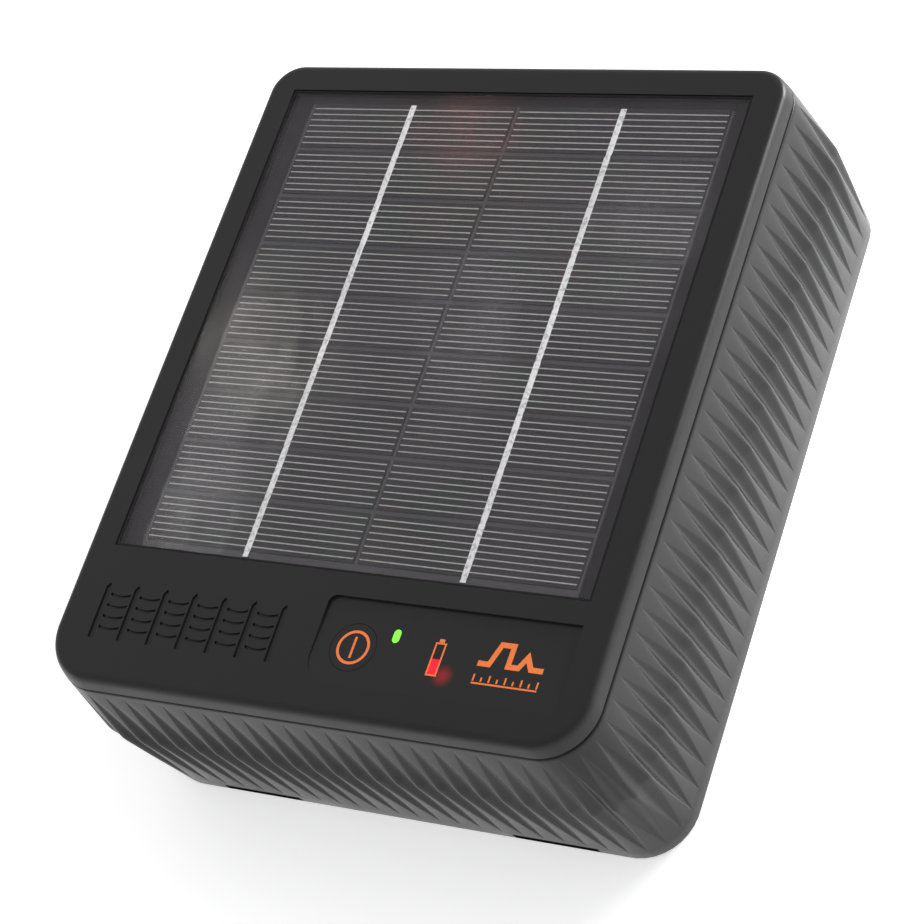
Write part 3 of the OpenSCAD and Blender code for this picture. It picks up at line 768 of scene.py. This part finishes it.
def turned(cx, cy, profile, n=48):
    """A closed solid of revolution from (z, r) pairs, listed from low z to high z."""
    return capped_tube([[(x, y, z) for x, y in circle(cx, cy, r, n)] for z, r in profile])


HANG = next(mount for mount in frame["record"]["mounts"] if mount["name"] == "keyhole_entry")
HANG_R, HANG_SLOT_R, HANG_SLOT_RISE = HANG["dims"]["r_mm"], 2.6, 9


def keyhole(grow):
    """The outline of the hanging hole grown by a distance, with a fixed number of points."""
    entry = [c / MM for c in HANG["pos_m"]]
    slot_y = entry[1] + HANG_SLOT_RISE
    big, small = HANG_R + grow, HANG_SLOT_R + grow
    meet = math.acos(small / big)
    points = []
    for k in range(41):
        a = meet - (math.pi + 2 * meet) * k / 40
        points.append((entry[0] + big * math.cos(a), entry[1] + big * math.sin(a)))
    for k in range(21):
        a = math.pi - math.pi * k / 20
        points.append((entry[0] + small * math.cos(a), slot_y + small * math.sin(a)))
    return points


BAY = {side: middle(side + "_terminal_stud") for side in ("fence", "earth")}
FRAME_X, FRAME_LOW, FRAME_HIGH, FRAME_W = 13.3, -14, 12.4, 1.1
ribs = [band(keyhole(1.6), keyhole(0.7), True, **moulded)]
for x, y in BAY.values():
    ribs.append(stroke([(x - FRAME_X, y + FRAME_LOW), (x - FRAME_X, y + FRAME_HIGH),
        (x + FRAME_X, y + FRAME_HIGH), (x + FRAME_X, y + FRAME_LOW)], FRAME_W, **moulded))
x, y = BAY["fence"]
ribs.append(stroke([(x - 3.6, y + 16), (x - 1.7, y + 16), (x - 0.8, y + 21.5), (x + 0.9, y + 21.5),
    (x + 1.8, y + 16), (x + 3.6, y + 16)], MARK_W, **moulded))
x, y = BAY["earth"]
ribs.append(stroke([(x, y + 22), (x, y + 18.9)], MARK_W, **moulded))
for w, up in ((3.3, 18.5), (2.1, 17), (0.9, 15.5)):
    ribs.append(stroke([(x - w, y + up), (x + w, y + up)], MARK_W, **moulded))
back_ribs = to_object("back_ribs", *join_meshes(ribs))
finish_piece(back_ribs, "case", "back_plastic")

PAD_PROFILE = [(0.06, 3.4), (0.1, 4.1), (0.22, 4.6), (0.45, 4.8), (PLATE_Z + 0.02, 4.8)]
pads = []
for x in (-53, 53):
    for y in (-30, 52):
        pads.append(turned(x, y, PAD_PROFILE))
rubber_pads = to_object("rubber_pads", *join_meshes(pads))
soften(rubber_pads, 50, planes=(Vector((0, 0, -1)),))
finish_piece(rubber_pads, "case", "seal_rubber")

vent_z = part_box("vent_plug")[0].z / MM
vx, vy = middle("vent_plug")
fins = [band(circle(vx, vy, r + 0.45, 40), circle(vx, vy, r, 40), True, level=lambda y: vent_z,
    top=0.02, bottom=-0.18) for r in (1.0, 2.3, 3.6)]
vent_rings = to_object("vent_rings", *join_meshes(fins))
finish_piece(vent_rings, "case", "back_plastic")


STUD_TIP_R, THREAD_ROOT_R, THREAD_HEIGHT = 2.35, 2.62, 0.36


def threaded_stud(side, n=36, step=1 / 7):
    """A stud with a cut thread of 1 mm pitch and a chamfered collar under it."""
    low, high = (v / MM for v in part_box(side + "_terminal_stud"))
    cx, cy = BAY[side]
    z, rings = low.z, []
    while z < high.z - 0.01:
        rings.append(z)
        z += step
    rings.append(high.z)
    tube = []
    for z in rings:
        limit = STUD_TIP_R + min(z - low.z, high.z - z) * 1.2
        ring = []
        for i in range(n):
            turn = i / n
            r = min(THREAD_ROOT_R + THREAD_HEIGHT * abs(2 * ((z - turn) % 1.0) - 1), limit)
            ring.append((cx + r * math.cos(math.tau * turn), cy + r * math.sin(math.tau * turn), z))
        tube.append(ring)
    stud = to_object(side + "_threaded_stud", *capped_tube(tube))
    collar = to_object("collar", *turned(cx, cy, [(18, 5.6), (18.2, 5.95), (18.8, 5.95), (19, 5.8)]))
    cut(stud, collar, "UNION")
    soften(stud, 28)
    finish_piece(stud, "case", SLOT_OF[side + "_terminal_stud"], replaces=(side + "_terminal_stud",))


def knob_marks(side):
    """A raised ring and pointer on the outer face of a clamp knob."""
    face_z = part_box(side + "_terminal_knob")[0].z / MM
    cx, cy = BAY[side]
    place = {"level": lambda y: face_z, "top": 0.05, "bottom": -0.4}
    parts = [band(circle(cx, cy, 6.9, 64), circle(cx, cy, 6.1, 64), True, **place),
        band(circle(cx, cy, 2.0, 40), circle(cx, cy, 1.2, 40), True, **place),
        stroke([(cx, cy + 2.4), (cx, cy + 5.7)], 1.0, **place)]
    marks = to_object(side + "_knob_marks", *join_meshes(parts))
    finish_piece(marks, side + "_knob", SLOT_OF[side + "_terminal_knob"])


for side in BAY:
    threaded_stud(side)
    knob_marks(side)


# ---------------------------------------------------------------- window edge
def frame_line(half_w, top, bottom, width, z0, z1):
    """A closed rectangular line, square in section, with its outer edge at the given sides."""
    outer = [(-half_w, bottom), (half_w, bottom), (half_w, top), (-half_w, top)]
    inner = [(-half_w + width, bottom + width), (half_w - width, bottom + width),
        (half_w - width, top - width), (-half_w + width, top - width)]
    verts = [(x, y, z) for z in (z0, z1) for loop in (outer, inner) for x, y in loop]
    faces = []
    for i in range(4):
        j = (i + 1) % 4
        faces += [(i, 4 + i, 4 + j, j), (8 + i, 8 + j, 12 + j, 12 + i), (i, j, 8 + j, 8 + i),
            (4 + i, 12 + i, 12 + j, 4 + j)]
    return verts, faces


glass_low, glass_high = (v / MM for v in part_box("panel_glazing"))
seal = to_object("window_seal", *frame_line(glass_high.x, glass_high.y, glass_low.y, 0.38,
    glass_high.z - 0.02, glass_high.z + 0.06))
finish_piece(seal, "case", "seal_rubber")

# ---------------------------------------------------------------- stage, lights, camera
floor = to_object("floor", [(4000 * math.cos(math.tau * i / 64), 4000 * math.sin(math.tau * i / 64), 0)
    for i in range(64)], [tuple(range(64))])
floor_look = Nodes("pale_floor")
floor_look.set(Roughness=0.9, Emission_Color=(1, 1, 1, 1))
axes = floor_look.add("ShaderNodeSeparateXYZ")
floor_look.link(floor_look.place, axes.inputs[0])
# The floor's emission is painted light and shade: a bright pool on its sunny +X side beside the case, and
# slightly less glow close round the case than further out.
beside = floor_look.math("SUBTRACT", floor_look.math("ABSOLUTE", axes.outputs["X"], 0), HALF_W * MM)
beyond = floor_look.math("SUBTRACT", floor_look.math("ABSOLUTE", axes.outputs["Y"], 0), HALF_H * MM)
near_case = floor_look.span(floor_look.math("MAXIMUM", beside, beyond), 0.0, 0.07, 1.0, 0.3, smooth=True)
sunny = floor_look.math("ADD", axes.outputs["X"], floor_look.math("MULTIPLY", axes.outputs["Y"], 0.3))
painted_pool = floor_look.math("MULTIPLY", near_case, floor_look.span(sunny, 0.035, 0.095, 0.0, 1.4, smooth=True))
table_light = floor_look.math("ADD", painted_pool, floor_look.span(near_case, 0.3, 1.0, 0.5, 0.38))
floor_look.link(table_light, floor_look.shader.inputs["Emission Strength"])
floor_cloud = floor_look.noise(3, 2)
floor_look.colour(floor_look.ramp(floor_cloud, [(0.3, (0.86, 0.86, 0.86)), (0.7, (0.9, 0.9, 0.9))]))
floor.data.materials.append(floor_look.mat)

world = bpy.data.worlds.new("studio")
bpy.context.scene.world = world
world.use_nodes = True
tree = world.node_tree
direction = tree.nodes.new("ShaderNodeTexCoord")
height = tree.nodes.new("ShaderNodeSeparateXYZ")
sky = tree.nodes.new("ShaderNodeValToRGB")
tree.links.new(direction.outputs["Generated"], height.inputs[0])
tree.links.new(height.outputs["Z"], sky.inputs["Fac"])
sky.color_ramp.elements[0].position, sky.color_ramp.elements[0].color = 0.03, (1, 1, 1, 1)
sky.color_ramp.elements[1].position, sky.color_ramp.elements[1].color = 0.6, (0.74, 0.74, 0.745, 1)
tree.links.new(sky.outputs["Color"], tree.nodes["Background"].inputs["Color"])
tree.nodes["Background"].inputs["Strength"].default_value = 1.0


AZIMUTH, ELEVATION, ROLL = (math.radians(a) for a in (54.44, 50.64, 41.9))
TARGET, DISTANCE = Vector((10.4, -13.0, 41.4)) * MM, 576.1 * MM
back = Vector((math.sin(AZIMUTH) * math.cos(ELEVATION), -math.cos(AZIMUTH) * math.cos(ELEVATION),
    math.sin(ELEVATION)))
level_up = Vector((-math.sin(ELEVATION) * math.sin(AZIMUTH), math.sin(ELEVATION) * math.cos(AZIMUTH),
    math.cos(ELEVATION)))
up = level_up * math.cos(ROLL) + Vector((math.cos(AZIMUTH), math.sin(AZIMUTH), 0)) * math.sin(ROLL)
right = up.cross(back)
camera = bpy.data.objects.new("camera", bpy.data.cameras.new("camera"))
bpy.context.scene.collection.objects.link(camera)
facing = Matrix((right, up, back)).transposed().to_4x4()
camera.matrix_world = Matrix.Translation(TARGET + back * DISTANCE) @ facing
camera.data.sensor_width, camera.data.lens = 36.0, 108.3
camera.data.clip_start = 0.01
bpy.context.scene.camera = camera


def softbox(name, place, aim, size, power, tint=(1, 1, 1)):
    data = bpy.data.lights.new(name, "AREA")
    data.shape, data.size, data.size_y = "RECTANGLE", *size
    data.energy, data.color = power, tint
    obj = bpy.data.objects.new(name, data)
    bpy.context.scene.collection.objects.link(obj)
    obj.location = place
    obj.rotation_euler = (Vector(aim) - Vector(place)).to_track_quat("-Z", "Y").to_euler()
    obj.visible_camera = False
    return obj


centre = Vector((0, 0, 0.028))
softbox("side_right", (0.45, 0.55, 0.10), centre, (0.3, 0.2), 9.0)
softbox("side_left", (-0.55, -0.25, 0.10), centre, (0.3, 0.2), 0.3)


def card(x, y, along, across, turn, radiance, tint=(1, 1, 1)):
    """A small lit card high behind the case, where the panel mirrors it about (x, y) in the main view."""
    eye = TARGET + back * DISTANCE
    spot = Vector((x, y, 54.2)) * MM
    ray = spot - eye
    place = spot + Vector((ray.x, ray.y, -ray.z))
    size = (2 * along * MM, 2 * across * MM)
    obj = softbox("card", place, spot, size, radiance * math.pi * size[0] * size[1], tint)
    obj.rotation_euler = (0, 0, math.radians(turn))
    return obj


card(-43, -16, 58, 8, 90, 6)
card(-43, 4, 14, 12, 90, 6, (1, 0.82, 0.66))
card(13, 14, 34, 10, 80, 2.2, (1, 0.93, 0.96))
card(46, 38, 30, 8, 60, 2.5)
card(-9, 62, 16, 12, 90, 4, (1, 0.22, 0.2))

bpy.context.scene.view_settings.view_transform = "Standard"
